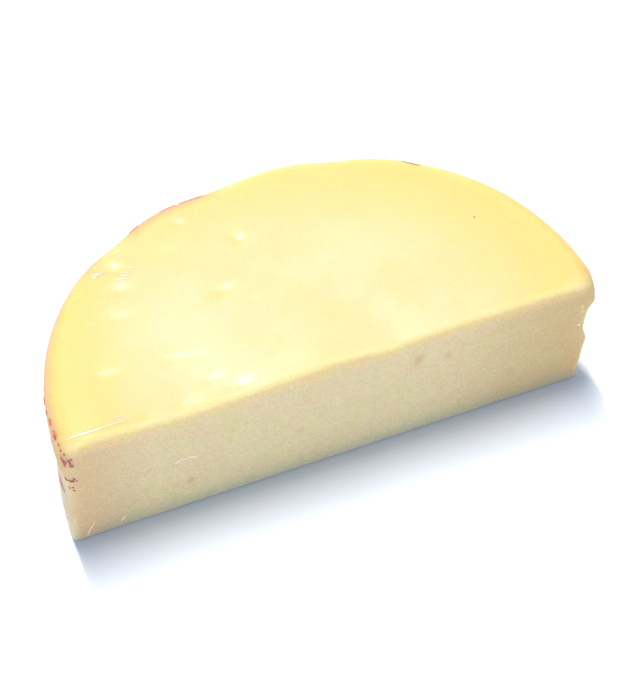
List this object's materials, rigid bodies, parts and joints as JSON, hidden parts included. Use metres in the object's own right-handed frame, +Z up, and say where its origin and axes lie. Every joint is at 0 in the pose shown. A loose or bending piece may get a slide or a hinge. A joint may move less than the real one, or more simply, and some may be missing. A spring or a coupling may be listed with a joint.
{
  "type": "half wheel of provolone cheese in clear film",
  "caption": "Half wheel of pale yellow provolone with a flat cut face and a rounded, uneven rim, drawn tight in clear printed film.",
  "frame": {"origin": "centre of the bounding box at the base, on the surface that the cheese rests on", "axes": "+X along the cut from its left end to its right end, +Y from the cut face towards the back of the rim, +Z up"},
  "size_m": [0.265, 0.1254, 0.0753],
  "materials": {
    "cheese": "pale yellow firm cheese, seen through the film",
    "film": "thin clear glossy shrink film",
    "print": "red print on the film"
  },
  "bodies": {
    "root": {"wrapped_cheese": "cheese"}
  },
  "joints": []
}
